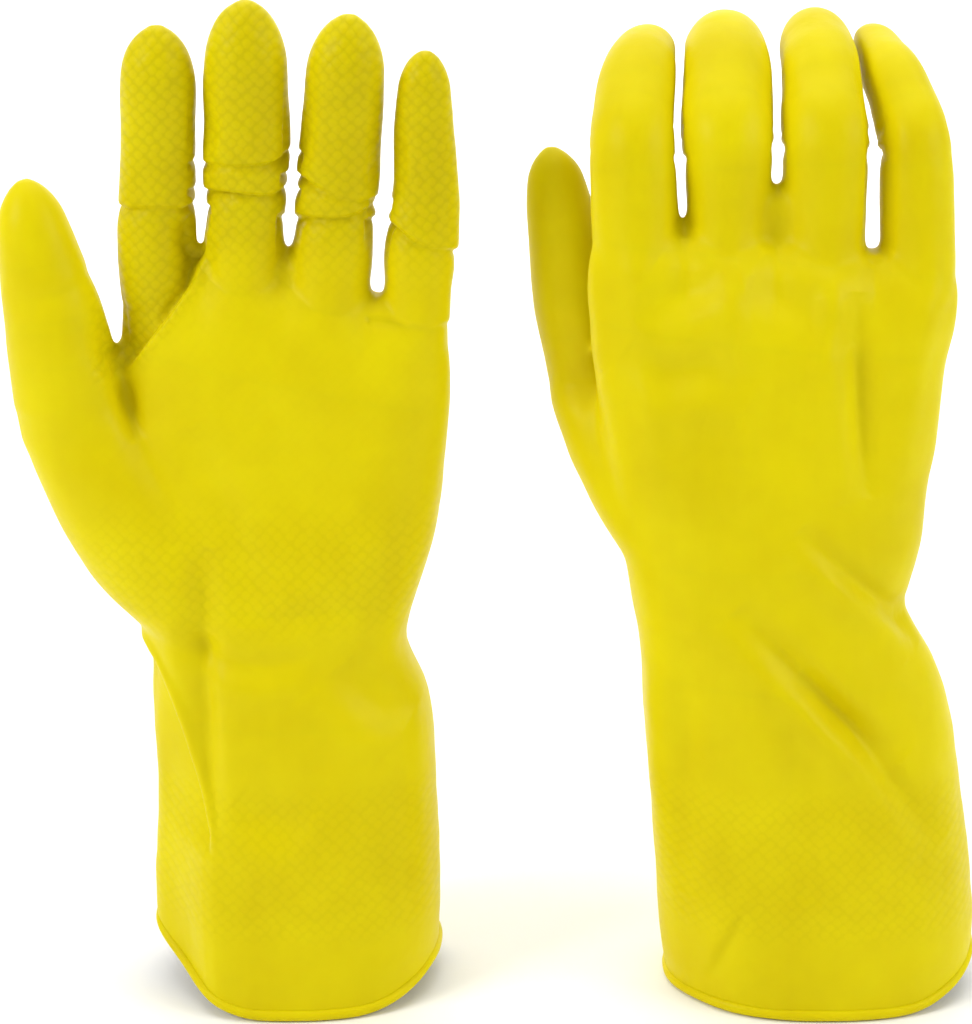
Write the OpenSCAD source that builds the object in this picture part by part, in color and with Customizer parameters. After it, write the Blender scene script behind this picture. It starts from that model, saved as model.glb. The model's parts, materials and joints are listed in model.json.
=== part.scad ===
// A pair of long household rubber gloves, standing on their open cuffs as if
// worn: the left glove shows its palm to the front (-Y), the right glove its
// back. Each glove is a thin latex shell with a rolled rim and a flock lining.
// The shell is split into zones, and the soft bands between stiff zones bend.
// Units are millimetres, +Z is up along the fingers, and z = 0 is the rim.

/* [Pair] */
// Distance between the middles of the two cuffs
pair_pitch = 163; // [160:1:220]
// How far the whole pair is shifted, so that the origin is in its middle
pair_shift = 16.3; // [0:0.1:30]
// How far the whole pair is moved back, so that the origin is in its middle
pair_back = -6.6; // [-20:0.1:20]

/* [Shell] */
// Wall thickness of the latex
wall = 0.6; // [0.5:0.1:1]
// Thickness of the cotton flock lining
flock = 0.3; // [0.2:0.1:0.5]
// Radius of the rolled rim
bead_r = 1.8; // [1.4:0.1:2.4]

/* [Cuff and wrist] */
// Height of the wrist above the rim, left and right glove
wrist_z = [110, 122]; // [100:1:130]
// Half of the length of the soft band at the wrist
wrist_half = 18; // [16:1:20]
// How far the rim rises at its left and right side: left glove, then right glove
rim_lift = [14, 11, 0, 10]; // [0:1:16]

/* [Palm] */
// Height of the knuckle line above the rim, left and right glove
knuckle_z = [207, 218]; // [200:1:220]
// Fall of the knuckle line towards the little finger, left and right glove
knuckle_tilt = [12, 6]; // [4:1:13]
// Half of the length of the soft band at the knuckles
knuckle_half = 12; // [11:0.5:12]

/* [Fingers] */
// Radii of the index, middle, ring and little fingers
finger_r = [10.9, 12.1, 11.5, 9.4]; // [8:0.1:12.5]
// Radii of their tips
tip_r = [10.2, 11.5, 11, 8.3]; // [7:0.1:12]
// Lengths from the knuckle line to the middle joints of the left glove
left_root_len = [37, 44, 45, 44]; // [36:1:46]
// Lengths from the knuckle line to the middle joints of the right glove
right_root_len = [41, 44, 48, 51]; // [38:1:52]
// Lengths from the middle joints to the end joints
mid_len = [24, 26, 25, 22]; // [22:1:28]
// Lengths from the end joints to the tips
end_len = [23, 26, 28, 27]; // [23:1:30]
// Half of the length of the soft bands at the finger joints
finger_half = 8; // [7:0.5:8]
// Bend at the middle joints when the glove is at rest, left and right glove
mid_curl = [8, 40]; // [5:1:45]
// Bend at the end joints when the glove is at rest, left and right glove
end_curl = [6, 24]; // [5:1:30]

/* [Thumb] */
// Radius of the thumb where it leaves the palm
thumb_root_r = 14; // [13:0.1:15]
// Radius of the thumb at its end joint
thumb_r = 12.6; // [11:0.1:13]
// Radius of the thumb's tip
thumb_tip_r = 10.4; // [9:0.1:12]
// Length from the palm to the thumb's base joint
thumb_root_len = 11; // [10.5:0.5:12]
// Length from the base joint to the end joint
thumb_mid_len = 26; // [24:1:30]
// Length from the end joint to the tip
thumb_end_len = 32; // [26:1:34]
// Turn of the thumb's bending direction towards the palm
thumb_twist = 45; // [30:1:60]

/* [Hidden] */
FINGERS = ["index", "middle", "ring", "little"];
GLOVE_NODES = concat(
    ["cuff", "rolled_rim", "cuff_lining", "wrist_band", "palm"],
    ["knuckle_band", "knuckles"],
    ["thumb_root_band", "thumb_base", "thumb_end_band", "thumb_tip"],
    [for (f = FINGERS) for (p = ["middle_band", "middle", "end_band", "tip"]) str(f, "_", p)]
);
NODES = [for (s = ["left", "right"]) for (n = GLOVE_NODES) str(s, "_", n)];
node = "all";

latex = "gold";
latex_soft = "yellow";
cotton = "ivory";
gap = 0.1;
joint_gap = 0.05;
round_steps = 40;
hull_steps = 32;
crown_rise = 8;
rim_fade = 60;
lining_from = 8;
dome_steps = 8;
bend_steps = 96;
squareness = 0.85;
// How far the bead's middle lies inside the outer face, and a fingertip's dome in radii
bead_inset = 0.4;
dome_share = 1.25;
// A very thin slice for hulls, and a length beyond the whole glove
slice = 0.02;
beyond = 200;
// Radius of the thumb above its root band
thumb_base_r = thumb_root_r - 0.6;

// Sections of each glove from rim to knuckles:
// height, middle in x, half width, half depth
SECTIONS = [
    [
        [0, 0, 43, 36.5], [30, 0, 44, 35], [62, 0, 43.5, 33], [92, -1.5, 42, 31],
        [110, -5, 40, 29], [128, -7, 44.5, 27], [145, -6, 47.5, 25],
        [165, -4, 48.5, 22], [185, -2, 48.5, 19], [206, -1, 48, 17], [230, -1, 47, 15.5]
    ],
    [
        [0, 2, 47, 36.5], [34, -1, 48.5, 35.5], [72, -5, 48, 33], [104, -11, 45, 30],
        [122, -16, 42.5, 28], [146, -18, 46.5, 26], [163, -19, 48.5, 23],
        [185, -19.5, 51, 20], [216, -19, 53.5, 17], [240, -19, 53.5, 15.5]
    ]
];
// Knuckle positions across the palm, sideways lean and forward lean of each finger
FINGER_X = [[-36, -12.3, 12, 38.4], [-40, -14, 14.8, 43.5]];
FINGER_SPLAY = [[1.6, 2.6, 5.2, 2.4], [-3, 0, 0.5, -2.5]];
FINGER_LEAN = [1, 7];
// Turn of each finger's bending direction
FINGER_TWIST = [[0, 0, 0, 0], [-9, -2, 1, 8]];
// Thumb root: middle, sideways lean and forward lean
THUMB_AT = [[-64.6, -7, 186], [-73, 22.2, 187]];
THUMB_SPLAY = [-10.3, -11];
THUMB_LEAN = [4, 3];
// Ball of the thumb, from the wrist to the thumb root:
// x, distance towards the palm side, height, half width, half depth
THUMB_BALL = [
    [[-22, 1, 122, 24, 24], [-30, 2, 131, 26, 23], [-39.5, 4, 145, 25, 21], [-51, 6, 163, 21.5, 18]],
    [[-34, 1, 134, 22, 24], [-40, 3, 142, 24, 23], [-48, 7, 153, 22, 21], [-61, 14, 171, 18, 17]]
];

// The front of a glove's palm: left glove towards -Y, right glove towards +Y
function palm_side(g) = g == 0 ? -1 : 1;
function turn_to_palm(g) = g == 0 ? 0 : 180;
function glove_x(g) = pair_shift + (g == 0 ? -0.5 : 0.5) * pair_pitch;
function column(g, c) = [for (s = SECTIONS[g]) [s[0], s[c]]];
function rounded(v) = sign(v) * pow(abs(v), squareness);
function clamp01(v) = min(1, max(0, v));
function palm_x(g) = lookup(knuckle_z[g], column(g, 1));
// Share of the knuckle line's tilt at a height: none at the wrist, all at the knuckles
function tilt_share(g, z) =
    clamp01((z - wrist_z[g] - wrist_half) / (knuckle_z[g] - knuckle_half - wrist_z[g] - wrist_half));
// The rim is flat at the front and back, and rises at the two sides
function rim_rise(g, z, a) =
    rim_lift[2 * g + (cos(a) > 0 ? 1 : 0)] * pow(clamp01((abs(cos(a)) - 0.45) / 0.55), 2)
    * pow(1 - clamp01((z - 2 * bead_r) / rim_fade), 2);
function section_point(g, z, a, inset) =
    let (
        x = lookup(z, column(g, 1)) + (lookup(z, column(g, 2)) - inset) * rounded(cos(a)),
        y = (lookup(z, column(g, 3)) - inset) * rounded(sin(a)),
        fall = tan(knuckle_tilt[g]) * tilt_share(g, z) * (x - palm_x(g))
    ) [x, y, z + rim_rise(g, z, a) - fall];
function ring(g, z, inset) =
    [for (i = [0:round_steps - 1]) section_point(g, z, 360 * i / round_steps, inset)];
function levels(low, high, count) = [for (i = [0:count]) low + (high - low) * i / count];
function flat(rings) = [for (r = rings) for (p = r) p];
function root_len(g, i) = g == 0 ? left_root_len[i] : right_root_len[i];
function finger_root(g, i) =
    [palm_x(g) + FINGER_X[g][i], 0, knuckle_z[g] - tan(knuckle_tilt[g]) * FINGER_X[g][i]];

// A closed band of faces that joins rings of n points into a ring-shaped skin
function skin(count, n) = [
    for (j = [0:count - 2]) for (i = [0:n - 1]) let (k = (i + 1) % n)
        for (f = [[j * n + i, (j + 1) * n + i, j * n + k], [j * n + k, (j + 1) * n + i, (j + 1) * n + k]]) f
];
function loop_skin(count, n) = [
    for (j = [0:count - 1]) for (i = [0:n - 1]) let (k = (i + 1) % n, m = (j + 1) % count)
        for (f = [[j * n + i, m * n + i, j * n + k], [j * n + k, m * n + i, m * n + k]]) f
];

// A tube with a thin wall: up the outside, and down the inside
module wall_tube(g, heights, outer, inner) {
    count = len(heights);
    up = [for (z = heights) ring(g, z, outer)];
    down = [for (j = [count - 1:-1:0]) ring(g, heights[j], inner)];
    polyhedron(flat(concat(up, down)), loop_skin(2 * count, round_steps));
}

// The same outline as one closed solid
module solid_tube(g, heights, inset) {
    count = len(heights);
    bottom = [for (i = [0:round_steps - 1]) i];
    top = [for (i = [round_steps - 1:-1:0]) (count - 1) * round_steps + i];
    polyhedron(
        flat([for (z = heights) ring(g, z, inset)]),
        concat(skin(count, round_steps), [bottom, top])
    );
}

// Frames along a finger and along the thumb
module at_finger(g, i) {
    translate(finger_root(g, i))
    rotate([0, FINGER_SPLAY[g][i], 0])
    rotate([0, 0, turn_to_palm(g) + FINGER_TWIST[g][i]])
    rotate([FINGER_LEAN[g], 0, 0])
    children();
}
module at_thumb(g) {
    translate(THUMB_AT[g])
    rotate([0, THUMB_SPLAY[g], 0])
    rotate([0, 0, g == 0 ? thumb_twist : 180 - thumb_twist])
    rotate([THUMB_LEAN[g], 0, 0])
    children();
}
module after_joint(length, curl) {
    translate([0, 0, length])
    rotate([curl, 0, 0])
    children();
}

// A bent piece of tube, centred on its joint, that bends towards -Y
module bent_tube(r, half, curl) {
    bend_r = half / tan(curl / 2);
    trim = curl * gap / half / 2;
    translate([0, -bend_r, -half])
    rotate([90, 0, 90])
    rotate([0, 0, trim])
    rotate_extrude(angle = curl - 2 * trim, $fn = bend_steps)
    translate([bend_r, 0])
    difference() {
        circle(r, $fn = round_steps);
        circle(r - wall, $fn = round_steps);
    }
}

// A straight tapered piece of tube
module straight_tube(low, high, r_low, r_high) {
    rotate_extrude($fn = round_steps)
    polygon([[r_low - wall, low], [r_low, low], [r_high, high], [r_high - wall, high]]);
}

// A fingertip: a tapered tube that ends in a dome
function dome(r, top, long) =
    [for (i = [0:dome_steps]) let (a = 90 * i / dome_steps) [r * cos(a), top - long + long * sin(a)]];
module tip_shell(low, high, r_low, r_high) {
    long = r_high * dome_share;
    rotate_extrude($fn = round_steps)
    polygon(concat(
        [[r_low, low]],
        dome(r_high, high, long),
        [for (i = [dome_steps:-1:0]) dome(r_high - wall, high - wall, long - wall)[i]],
        [[r_low - wall, low]]
    ));
}

// Cuff, rim, wrist and lining
function lining_levels(g) = levels(lining_from, wrist_z[g] - wrist_half, 5);
module cuff(g) {
    color(latex)
    wall_tube(g, concat([2 * bead_r + 2 * gap], lining_levels(g)), 0, wall);
}
module rolled_rim(g) {
    turns = 8;
    color(latex)
    polyhedron(
        flat([
            for (j = [0:turns - 1])
                let (a = 360 * (j + 0.5) / turns, out = bead_r / cos(180 / turns))
                [for (p = ring(g, 0, bead_inset - out * cos(a))) p + [0, 0, bead_r + out * sin(a)]]
        ]),
        loop_skin(turns, round_steps)
    );
}
module cuff_lining(g) {
    color(cotton)
    wall_tube(g, lining_levels(g), wall + joint_gap, wall + joint_gap + flock);
}
module wrist_band(g) {
    low = wrist_z[g] - wrist_half + gap;
    high = wrist_z[g] + wrist_half - gap;
    color(latex_soft)
    wall_tube(g, levels(low, high, 4), 0, wall);
}

// Palm with the ball of the thumb
module ball_section(g, s, inset) {
    translate([s[0], palm_side(g) * s[1], s[2]])
    linear_extrude(slice)
    scale([s[3] - inset, s[4] - inset])
    circle(1, $fn = hull_steps);
}
module thumb_end_section(g, inset, past) {
    at_thumb(g)
    translate([0, 0, past - slice])
    cylinder(h = slice, r = thumb_root_r - inset, $fn = hull_steps);
}
module thumb_ball(g, inset) {
    stations = THUMB_BALL[g];
    for (i = [0:len(stations) - 2])
        hull() {
            ball_section(g, stations[i], inset);
            ball_section(g, stations[i + 1], inset);
        }
    hull() {
        ball_section(g, stations[len(stations) - 1], inset);
        thumb_end_section(g, inset, 0);
    }
    if (inset > 0)
        hull() {
            thumb_end_section(g, inset, 0);
            thumb_end_section(g, inset, 2);
        }
}
module palm(g) {
    low = wrist_z[g] + wrist_half;
    high = knuckle_z[g] - knuckle_half;
    color(latex)
    difference() {
        union() {
            solid_tube(g, levels(low, high, 6), 0);
            thumb_ball(g, 0);
        }
        solid_tube(g, levels(low - 1, high + 1, 6), wall);
        thumb_ball(g, wall);
        translate([-beyond, -beyond, -1])
        cube([2 * beyond, 2 * beyond, low + 1]);
    }
}
module knuckle_band(g) {
    low = knuckle_z[g] - knuckle_half + gap;
    high = knuckle_z[g] + knuckle_half - gap;
    color(latex_soft)
    wall_tube(g, levels(low, high, 3), 0, wall);
}

// Knuckles: a crown over the palm that carries the four finger roots
module finger_root_tube(g, i, inset, past) {
    at_finger(g, i)
    hull() {
        translate([0, 0, knuckle_half + crown_rise / 2 - past])
        cylinder(h = 1, r = finger_r[i] - inset, $fn = hull_steps);
        translate([0, 0, root_len(g, i) - finger_half - 1 + past])
        cylinder(h = 1, r = finger_r[i] - inset, $fn = hull_steps);
    }
}
module knuckles(g) {
    low = knuckle_z[g] + knuckle_half;
    high = low + crown_rise;
    color(latex)
    difference() {
        union() {
            solid_tube(g, levels(low, high, 2), 0);
            for (i = [0:3]) finger_root_tube(g, i, 0, 0);
        }
        solid_tube(g, levels(low - 1, high - wall, 2), wall);
        for (i = [0:3]) finger_root_tube(g, i, wall, 1);
    }
}

// Fingers
module finger_middle_band(g, i) {
    color(latex_soft)
    at_finger(g, i)
    translate([0, 0, root_len(g, i)])
    bent_tube(finger_r[i], finger_half, mid_curl[g]);
}
module finger_middle(g, i) {
    color(latex)
    at_finger(g, i)
    after_joint(root_len(g, i), mid_curl[g])
    straight_tube(finger_half, mid_len[i] - finger_half, finger_r[i], finger_r[i]);
}
module finger_end_band(g, i) {
    color(latex_soft)
    at_finger(g, i)
    after_joint(root_len(g, i), mid_curl[g])
    translate([0, 0, mid_len[i]])
    bent_tube(finger_r[i], finger_half, end_curl[g]);
}
module finger_tip(g, i) {
    color(latex)
    at_finger(g, i)
    after_joint(root_len(g, i), mid_curl[g])
    after_joint(mid_len[i], end_curl[g])
    tip_shell(finger_half, end_len[i], finger_r[i], tip_r[i]);
}

// Thumb
module thumb_root_band(g) {
    color(latex_soft)
    at_thumb(g)
    straight_tube(gap, 2 * thumb_root_len - gap, thumb_root_r, thumb_base_r);
}
module thumb_base(g) {
    color(latex)
    at_thumb(g)
    straight_tube(
        2 * thumb_root_len, thumb_root_len + thumb_mid_len - finger_half,
        thumb_base_r, thumb_r
    );
}
module thumb_end_band(g) {
    color(latex_soft)
    at_thumb(g)
    translate([0, 0, thumb_root_len + thumb_mid_len])
    straight_tube(gap - finger_half, finger_half - gap, thumb_r, thumb_r);
}
module thumb_tip(g) {
    color(latex)
    at_thumb(g)
    translate([0, 0, thumb_root_len + thumb_mid_len])
    tip_shell(finger_half, thumb_end_len, thumb_r, thumb_tip_r);
}

function wanted(g, name) = node == "all" || node == str(g == 0 ? "left_" : "right_", name);
module glove(g) {
    translate([glove_x(g), pair_back, 0])
    children();
}

for (g = [0:1]) {
    if (wanted(g, "cuff")) glove(g) cuff(g);
    if (wanted(g, "rolled_rim")) glove(g) rolled_rim(g);
    if (wanted(g, "cuff_lining")) glove(g) cuff_lining(g);
    if (wanted(g, "wrist_band")) glove(g) wrist_band(g);
    if (wanted(g, "palm")) glove(g) palm(g);
    if (wanted(g, "knuckle_band")) glove(g) knuckle_band(g);
    if (wanted(g, "knuckles")) glove(g) knuckles(g);
    if (wanted(g, "thumb_root_band")) glove(g) thumb_root_band(g);
    if (wanted(g, "thumb_base")) glove(g) thumb_base(g);
    if (wanted(g, "thumb_end_band")) glove(g) thumb_end_band(g);
    if (wanted(g, "thumb_tip")) glove(g) thumb_tip(g);
    for (i = [0:3]) {
        if (wanted(g, str(FINGERS[i], "_middle_band"))) glove(g) finger_middle_band(g, i);
        if (wanted(g, str(FINGERS[i], "_middle"))) glove(g) finger_middle(g, i);
        if (wanted(g, str(FINGERS[i], "_end_band"))) glove(g) finger_end_band(g, i);
        if (wanted(g, str(FINGERS[i], "_tip"))) glove(g) finger_tip(g, i);
    }
}
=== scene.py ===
"""A pair of yellow household rubber gloves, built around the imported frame.

Each glove is one latex skin: a cuff and palm lofted from sections, with fingers and a thumb
swept along their joints. The parts are merged, smoothed and folded as one surface, and only
then cut at the edges of the soft bands, so that the zones meet without a step.
Work is in millimetres about each glove's own cuff, and goes into metres at the end.
"""
import json
import math

import bpy
import numpy as np
from mathutils import Matrix, Vector, noise


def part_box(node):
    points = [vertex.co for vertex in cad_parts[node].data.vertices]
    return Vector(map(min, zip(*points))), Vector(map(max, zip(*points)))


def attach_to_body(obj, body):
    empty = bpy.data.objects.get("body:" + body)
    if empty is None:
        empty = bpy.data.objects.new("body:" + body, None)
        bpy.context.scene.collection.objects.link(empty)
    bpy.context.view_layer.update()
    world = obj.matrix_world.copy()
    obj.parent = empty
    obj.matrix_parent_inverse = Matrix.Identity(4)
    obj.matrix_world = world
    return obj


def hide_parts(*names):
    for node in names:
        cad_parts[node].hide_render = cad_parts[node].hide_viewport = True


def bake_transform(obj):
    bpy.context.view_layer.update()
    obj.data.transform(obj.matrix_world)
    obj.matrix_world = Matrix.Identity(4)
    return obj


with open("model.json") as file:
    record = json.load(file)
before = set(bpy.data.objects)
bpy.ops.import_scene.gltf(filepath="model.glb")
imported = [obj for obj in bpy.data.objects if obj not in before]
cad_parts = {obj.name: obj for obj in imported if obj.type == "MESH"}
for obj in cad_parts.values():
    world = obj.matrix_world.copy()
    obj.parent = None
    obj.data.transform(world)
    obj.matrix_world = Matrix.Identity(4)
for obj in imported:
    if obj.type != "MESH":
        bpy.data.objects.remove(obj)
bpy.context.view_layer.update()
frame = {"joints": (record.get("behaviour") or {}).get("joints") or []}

MM = 0.001
SIDES = ("left", "right")
FINGERS = ("index", "middle", "ring", "little")
JOINTS = {j["name"]: j for j in frame["joints"]}
UP = np.array([0, 0, 1.0])
# Which way each palm faces: -1 to the front, 1 to the back
PALM_SIDE = {"left": -1, "right": 1}

# Size of the remesh's voxels, and thickness of the latex that shows
VOXEL = 0.8
SKIN = 0.7
# The cotton lining: its thickness, its gap to the latex, and its lowest height
FLOCK = 0.3
FLOCK_GAP = 0.05
LINING_FROM = 8

# Half lengths of the soft bands at the wrist, the knuckles and the finger joints
WRIST_HALF = 18
KNUCKLE_HALF = 12
FINGER_HALF = 8
# Length of the thumb before its first joint, and the part past that joint that bends:
# it starts above the web
THUMB_ROOT = 11
THUMB_BAND = (5, 15)
# Length of each finger before its first joint and after its second, and of the thumb after its second
ROOT_LEN = {"left": (37, 44, 45, 44), "right": (41, 44, 48, 51)}
END_LEN = {"left": (23, 26, 28, 27), "right": (26.5, 29, 31.5, 30)}
THUMB_END = {"left": 32, "right": 35}
# Degrees that each finger is already bent at its two joints
MID_CURL = {"left": 8, "right": 40}
END_CURL = {"left": 6, "right": 24}

# The rim: where its middle lies beside the glove's own zero, how far its left and right sides rise,
# the height of the cut, and how far up the skin the rise fades out
RIM_MIDDLE = {"left": 0, "right": 2}
RIM_LIFT = {"left": (19, 8.5), "right": (0, 10)}
RIM_EDGE = 1.9
RIM_FADE = 58
# Radius of the rolled bead, and how far its middle lies inside the skin
BEAD = 1.75
BEAD_INSET = 0.35
# Scales of the grip pattern to the metre
GRIP = 1 / 0.0027


# ---------------- small tools
def unit(v):
    return np.asarray(v, float) / np.linalg.norm(v)


def turned(v, axis, degrees):
    return np.array(Matrix.Rotation(math.radians(degrees), 3, Vector(axis)) @ Vector(v))


def smoothstep(low, high, v):
    t = np.clip((v - low) / (high - low), 0, 1)
    return t * t * (3 - 2 * t)


def curve_through(knots, values, at):
    """Catmull-Rom values at the places 'at', through values[k] at knots[k]."""
    knots, values = np.asarray(knots, float), np.asarray(values, float)
    slope = np.gradient(values, knots, axis=0)
    k = np.clip(np.searchsorted(knots, at) - 1, 0, len(knots) - 2)
    h = knots[k + 1] - knots[k]
    t = np.clip((at - knots[k]) / h, 0, 1)
    if values.ndim > 1:
        h, t = h[:, None], t[:, None]
    return (
        (1 + 2 * t) * (1 - t) ** 2 * values[k]
        + t * (1 - t) ** 2 * h * slope[k]
        + t * t * (3 - 2 * t) * values[k + 1]
        + t * t * (t - 1) * h * slope[k + 1]
    )


def noise_at(points, size, seed=0):
    return np.array([noise.noise(Vector(p) / size + Vector((seed, seed, seed))) for p in points])


# ---------------- shape of each glove
# Sections from rim to knuckles: height, left edge, right edge, front depth, back depth
SECTIONS = {
    "left": [
        (0, -44, 43.2, 36.5, 36.5), (14, -44.6, 44.3, 36, 36), (30, -45, 44.4, 35, 35),
        (62, -44.2, 43.6, 33, 33), (84, -44.6, 42.3, 31, 32), (98, -44.6, 39.4, 29.5, 31),
        (107, -44.6, 35.2, 28.5, 30), (112, -45.4, 33.8, 28, 29.5), (118, -46.5, 35, 27.5, 29),
        (130, -49, 38.6, 27, 27.5), (145, -51, 42.4, 25.5, 25), (163, -52, 45, 23, 22.5),
        (184, -50.5, 46.8, 20, 19.5), (202, -49, 48, 17.5, 17.5), (211, -48, 47.6, 15, 15),
        (219, -46, 46, 11, 11.5), (224, -43, 44, 6, 6.5),
    ],
    "right": [
        (0, -45, 49, 36.5, 36.5), (12, -47.5, 50, 36.5, 36.5), (33, -49.6, 48.6, 35.5, 35.5),
        (66, -53, 43.8, 33.5, 33.5), (90, -54.6, 39, 31.5, 31.5), (106, -56, 33.2, 30, 30),
        (117, -57.6, 26.5, 29, 29), (124, -59, 23.6, 28.5, 28.5), (131, -60, 24.8, 28, 28),
        (142, -62, 27.6, 27.5, 27), (160, -66, 28.8, 25.5, 24), (180, -69.5, 31.4, 22.5, 21),
        (203, -72.5, 33, 20, 18.5), (218, -73.5, 35.4, 17, 16), (228, -72, 35, 12.5, 12),
        (234, -69, 33, 7, 7.5),
    ],
}
# Power that squares the ovals of the sections, where 1 leaves them round
SQUARED = 0.88
# Ball of the thumb: x, distance towards the palm side, height, half width, half depth
THUMB_BALL = {
    "left": [
        (-20, 0, 112, 18, 24), (-24, 2, 121, 25, 24), (-31, 3, 131, 27.5, 23), (-40, 5, 145, 26.5, 21),
        (-51, 6.5, 163, 23, 18.5), (-59.5, 7, 177, 19.3, 15.8),
    ],
    "right": [
        (-33, 0, 130, 20, 24), (-39, 3, 140, 24, 24), (-48, 7, 153, 23.5, 22),
        (-60, 13, 168, 18.8, 18), (-68, 18, 181, 15.5, 15),
    ],
}
# Radius along each finger: share of the finger's length, radius
FINGER_R = {
    "left": {
        "index": [
            (0, 11), (0.26, 11.5), (0.4, 11.5), (0.46, 11.3), (0.56, 11.1), (0.8, 10.8),
            (0.89, 10.3), (1, 9.4),
        ],
        "middle": [
            (0, 11.4), (0.29, 11.6), (0.4, 11.7), (0.5, 12.6), (0.59, 12.9), (0.75, 12.3),
            (0.9, 11.2), (1, 10),
        ],
        "ring": [
            (0, 11.6), (0.32, 11.9), (0.41, 11.8), (0.5, 12.1), (0.64, 11.9), (0.76, 11.7),
            (0.9, 10.9), (1, 9.8),
        ],
        "little": [
            (0, 9.6), (0.26, 9.9), (0.41, 10.7), (0.5, 10.4), (0.6, 9.5), (0.75, 8.9),
            (0.86, 7.9), (1, 6.4),
        ],
        "thumb": [(0, 16.2), (0.34, 15.4), (0.5, 14.2), (0.62, 12.9), (0.8, 10.6), (0.9, 8.8), (1, 7)],
    },
    "right": {
        "index": [
            (0, 12), (0.25, 12.9), (0.42, 12.8), (0.55, 12.5), (0.7, 11.9), (0.82, 10.5),
            (0.92, 8.6), (1, 6.8),
        ],
        "middle": [(0, 11.6), (0.25, 11.8), (0.36, 12.6), (0.5, 14), (0.62, 13.8), (0.85, 12.6), (1, 11.4)],
        "ring": [(0, 11.8), (0.25, 12), (0.4, 12.8), (0.52, 13.3), (0.62, 12.5), (0.85, 10.9), (1, 9.2)],
        "little": [(0, 10.4), (0.25, 10.9), (0.42, 10.9), (0.55, 10.4), (0.7, 9.3), (0.85, 8.1), (1, 6.8)],
        "thumb": [(0, 11.5), (0.2, 12.4), (0.34, 12.9), (0.56, 11.6), (0.8, 9.4), (0.9, 8), (1, 6)],
    },
}
# How tightly each finger turns at its joints, as half of the curve's length
BEND_HALF = {"left": 8, "right": 5}
# Length of the rounded fingertip as a share of its radius
DOME = {"left": 1.75, "right": 1.8}
# Least room between two fingers, and the room that a thumb is taken to have
GAP = 2.2
FAR_AWAY = 99.0
# How far a web reaches down, its half thickness, and the middle of its smoothing above the roots
WEB_DEPTH = 22
WEB_THICK = 6.5
THUMB_WEB_THICK = 6
WEB_ABOVE = {"left": 24, "right": 22}
# Heights of the webs between index and middle, middle and ring, ring and little,
# and of the web between thumb and index
WEBS = {"left": (233, 232, 218, 198), "right": (240, 250, 230, 186)}
# How far the finished skin leans over to the side, in x
DRIFT = {"left": 1.5, "right": 0}
# A limb's radius grows to its full size over this length, which lies inside the palm
ROOT_TAPER = 9
# How far a limb's skin can lie from its middle line, and from its first joint
LIMB_REACH = 17
LONGEST = 90
# Sideways bows of the limbs: offset in x, place from the first joint, half length
BOWS = {
    "left": {
        "index": [(-1.4, -18, 26)], "little": [(1.5, 6, 14)],
        "thumb": [(-0.6, 45, 16), (0.8, 8, 20)],
    },
    "right": {
        "index": [(2.6, 56, 24)], "middle": [(-0.8, 6, 10)], "little": [(-2.2, 34, 22)],
        "thumb": [(0.8, 0, 14)],
    },
}


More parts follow.
